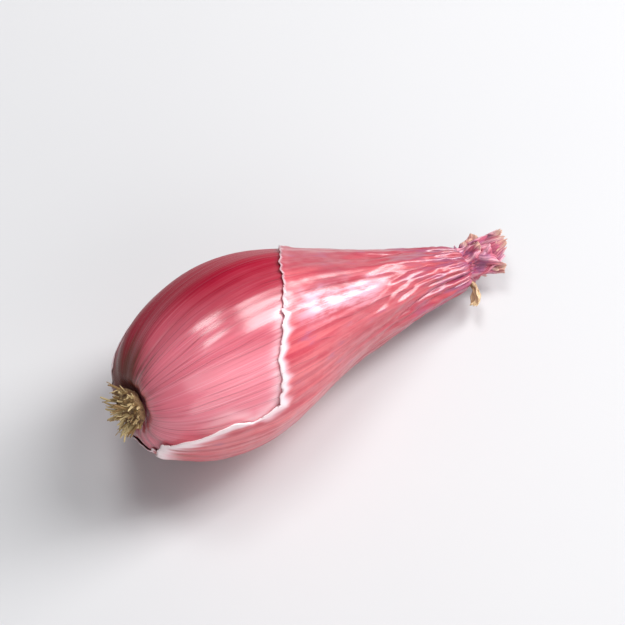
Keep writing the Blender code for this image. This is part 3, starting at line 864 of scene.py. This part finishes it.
def ribbon_points(length, half_width, turn, lean, curl, seed, lift, radius=LEAF_RADIUS):
    """Points of one ribbon, with how far along and across each is and the height of its folds.

    Its middle line leaves the scroll at the lean angle and bends by the curl. Across, it arches over
    the scroll, rocks by the ruffle, lies in lengthwise folds and is crumpled by waves that grow
    toward the ragged end.
    """
    radial = np.array([0.0, -sin(turn), cos(turn)])
    side = np.array([0.0, cos(turn), sin(turn)])
    ahead = np.array([1.0, 0.0, 0.0])
    way, across = leaf_grid()
    ragged = 0.10 * waves(3.0 * across, 0.0, seed, 8, (1, 4), 0.0)
    ragged = ragged + 0.02 * waves(3.0 * across, 0.0, seed + 1, 8, (6, 12), 0.0)
    way = way * (0.98 - (np.abs(ragged) + 0.16 * across**2) * ease(0.4, 1.0, way))
    angle = (lean + curl * way)[..., None]
    # The middle line is the integral of its direction along the ribbon
    bend = curl if abs(curl) > 1e-6 else 1e-6
    forward_run = (np.sin(angle) - np.sin(lean)) / bend
    outward_run = (np.cos(lean) - np.cos(angle)) / bend
    middle = ahead * (LEAF_START + length * forward_run) + radial * (radius + length * outward_run)
    outward = radial * np.cos(angle) - ahead * np.sin(angle)
    widening = (1.0 - LEAF_FOOT) * ease(0.12, 0.50, way)
    width = half_width * (LEAF_FOOT + widening - (1.0 - LEAF_POINT) * ease(0.60, 1.0, way))
    width = width * (1.0 + 0.10 * waves(4.0 * way, 0.0, seed + 2, 8, (1, 6), 0.0) * np.sign(across))
    ruffle = LEAF_RUFFLE * width * np.sin(2.2 * pi * way + 3.0 * turn) * ease(0.2, 0.5, way)
    crumple = 0.30 * MM * ease(0.15, 0.5, way) * waves(2.0 * across, way, seed + 3, 16, (0, 3), 3.0)
    phase = pi * LEAF_FOLDS * across + seed + 1.4 * waves(across, way, seed + 4, 8, (1, 2), 1.5)
    folds = np.arcsin(0.94 * np.sin(phase)) * 2 / pi * ease(0.0, 0.3, way)
    fine = 0.07 * MM * waves(5.0 * across, way, seed + 5, 12, (2, 6), 4.0)
    rise = lift - LEAF_ARCH * width * across**2 + ruffle * across + crumple + LEAF_FOLD * folds + fine
    return middle + side * (width * across)[..., None] + outward * rise[..., None], way, across, folds


SCROLL_TURNS = 2.2
SCROLL_INNER, SCROLL_OUTER = 0.50 * MM, 1.25 * MM
SCROLL_LENGTH = 5.4 * MM


def scroll_points(way, across):
    """Points of the innermost leaf, rolled up: its radius grows evenly as it turns, and it tapers."""
    spin = (across + 1.0) * pi * SCROLL_TURNS
    radius = SCROLL_INNER + (SCROLL_OUTER - SCROLL_INNER) * 0.5 * (across + 1.0)
    radius = radius * (0.85 + 0.15 * ease(0.0, 0.1, way) - 0.35 * ease(0.6, 1.0, way))
    radius = radius + 0.05 * MM * waves(spin, way, 61, 12, (1, 5), 4.0)
    ragged = 0.10 * np.abs(waves(spin, 0.0, 62, 8, (1, 5), 0.0)) * ease(0.5, 1.0, way)
    x = way * SCROLL_LENGTH * (1.0 - ragged)
    return np.stack([x, -radius * np.sin(spin), radius * np.cos(spin)], axis=-1)


def grid_faces(rows, columns):
    """Quads between rows of points, facing out for columns that go round as the turn does."""
    row = np.arange(rows - 1)[:, None] * columns
    column = np.arange(columns - 1)[None, :]
    corners = [row + column, row + column + 1, row + columns + column + 1, row + columns + column]
    return np.stack(corners, axis=-1).reshape(-1, 4)


STRAW_SHEETS = (12, 13)  # the two plies of the last, thin leaf end, which has bleached

sheets = []
for number, (length, half_width, turn_degrees, lean, curl) in enumerate(LEAF_ENDS):
    length, half_width, spot = length * MM, half_width * MM, radians(turn_degrees)
    seed = 50 + 10 * number
    sheets.append(ribbon_points(length, half_width, spot, lean, curl, seed, PLY_LIFT))
    length, half_width = PLY_LENGTH * length, PLY_WIDTH * half_width
    sheets.append(ribbon_points(length, half_width, spot + PLY_TURN, lean, curl, seed + 5, -PLY_LIFT))
way, across = leaf_grid()
sheets.append((scroll_points(way, across), way, across, 0.0 * way))
draw = random.Random(14)
for number in range(SHORT_LEAVES):
    spot = 2 * pi * (number + draw.uniform(-0.2, 0.2)) / SHORT_LEAVES
    length, curl = draw.uniform(4.6, 6.8) * MM, draw.uniform(0.1, 0.9)
    seed = 150 + 10 * number
    sheets.append(ribbon_points(length, SHORT_HALF_WIDTH, spot, SHORT_LEAN, curl, seed, 0.0, SHORT_RADIUS))
leaf_points = np.stack([sheet[0] for sheet in sheets]) + np.array([MOUTH, 0.0, 0.0])
leaf_points += np.array([0.0, BOW_BACK, BOW_UP]) * bow_at(MOUTH / LENGTH)
sheet_numbers = np.arange(len(sheets))[:, None, None] * (LEAF_STEPS * LEAF_COLUMNS)
leaf_faces = (sheet_numbers + grid_faces(LEAF_STEPS, LEAF_COLUMNS)[None]).reshape(-1, 4)
leaf_ends = mesh_object("leaf_ends", laid_down(leaf_points).reshape(-1, 3), leaf_faces.tolist())
keep_value(leaf_ends, "leaf_way", np.stack([sheet[1] for sheet in sheets]))
keep_value(leaf_ends, "leaf_across", np.stack([sheet[2] + 3.0 * i for i, sheet in enumerate(sheets)]))
keep_value(leaf_ends, "leaf_fold", np.stack([sheet[3] for sheet in sheets]))
bleached = np.isin(np.arange(len(sheets)), STRAW_SHEETS)[:, None, None]
keep_value(leaf_ends, "leaf_bleach", np.broadcast_to(bleached, leaf_points.shape[:3]))
make_thick(leaf_ends, LEAF_THICKNESS)

crumpled = Finish("crumpled_leaf", roughness=0.5, coat_weight=0.35, coat_roughness=0.25)
way = crumpled.attribute("leaf_way", 2)
fold = crumpled.attribute("leaf_fold", 2)
across = crumpled.attribute("leaf_across", 2)
leaf_map = crumpled.node("ShaderNodeCombineXYZ", {}, {"X": across, "Y": way})
threads = crumpled.noise(crumpled.stretched(leaf_map, (9.0, 1.6, 1.0)), 1.0, 4.0, 0.6)
blots = crumpled.noise(crumpled.stretched(leaf_map, (1.4, 3.0, 1.0)), 1.0, 4.0, 0.6)
creases = crumpled.noise(crumpled.stretched(leaf_map, (5.0, 12.0, 1.0)), 1.0, 4.0, 0.6)
veins = abs((across * 22.0 + threads * 2.0).sine()).fall(0.05, 0.5)
colour = crumpled.mix(threads.rise(0.36, 0.64), (184, 66, 100), (222, 116, 134))
colour = crumpled.mix(blots.rise(0.46, 0.62) * 0.65, colour, (140, 78, 134))
# Painted shade in the fold valleys and painted highlight on the fold crests
colour = crumpled.mix(fold.fall(-1.0, 0.3) * 0.50, colour, (104, 30, 72))
colour = crumpled.mix((fold + threads * 0.6 - 0.3).rise(0.3, 1.0) * 0.55, colour, (248, 202, 218))
colour = crumpled.mix(veins * 0.30, colour, (116, 36, 70))
colour = crumpled.mix((way + threads * 0.4 - 0.2).rise(0.72, 1.0) * 0.8, colour, (228, 190, 160))
straw = crumpled.mix(threads.rise(0.34, 0.66), (196, 158, 104), (238, 214, 164))
colour = crumpled.mix(crumpled.attribute("leaf_bleach", 2) * 0.85, colour, straw)
crumpled.feed("Base Color", colour)
crumpled.feed("Roughness", 0.45 + creases * 0.3)
crumpled.bump(veins * 0.5 + threads * 0.6 + creases * 0.8, 0.00012)
leaf_ends.data.materials.append(crumpled.material)
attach(leaf_ends, "root")
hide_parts("leaf_tips")
